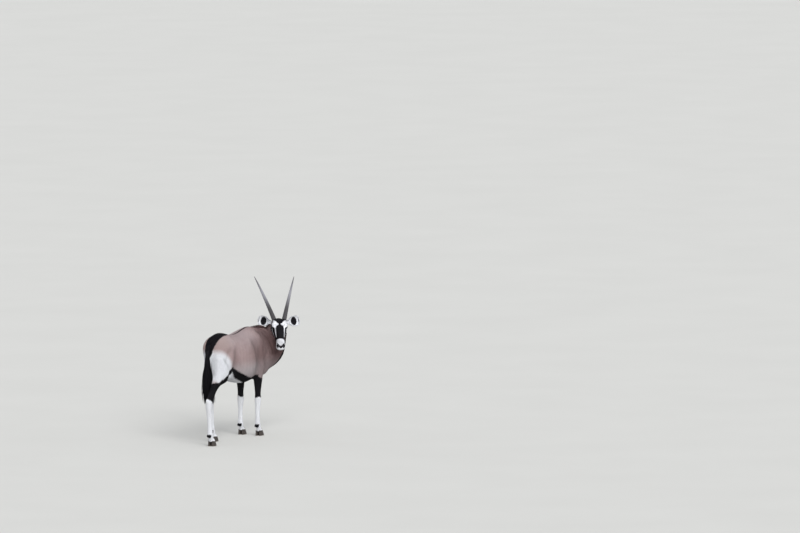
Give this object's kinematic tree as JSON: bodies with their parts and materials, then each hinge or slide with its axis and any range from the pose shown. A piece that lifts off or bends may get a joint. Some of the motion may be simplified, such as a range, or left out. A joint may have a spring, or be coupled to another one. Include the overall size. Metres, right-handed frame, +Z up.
{
  "type": "gemsbok",
  "caption": "Life-size standing gemsbok that looks back over its right shoulder, with long ringed horns, a black tail and cloven hooves.",
  "frame": {"origin": "middle of the underside of the whole animal's box, on the floor", "axes": "+X the way the trunk faces, +Y its left side, +Z up"},
  "size_m": [2.3312, 0.7638, 1.6412],
  "materials": {
    "fawn_coat": "short fawn hair",
    "black_coat": "long black hair",
    "horn": "ringed horn",
    "hoof": "smooth horn",
    "eye": "wet and glossy",
    "ear": "short pale hair"
  },
  "bodies": {
    "root": {"torso": "fawn_coat", "neck": "fawn_coat", "head": "fawn_coat", "foreleg_left": "fawn_coat", "foreleg_right": "fawn_coat", "hindleg_left": "fawn_coat", "hindleg_right": "fawn_coat", "hoof_fore_left_left": "hoof", "hoof_fore_left_right": "hoof", "hoof_fore_right_left": "hoof", "hoof_fore_right_right": "hoof", "hoof_hind_left_left": "hoof", "hoof_hind_left_right": "hoof", "hoof_hind_right_left": "hoof", "hoof_hind_right_right": "hoof", "tail": "black_coat", "horn_left": "horn", "horn_right": "horn", "ear_left": "ear", "ear_right": "ear", "eye_left": "eye", "eye_right": "eye"}
  },
  "joints": []
}
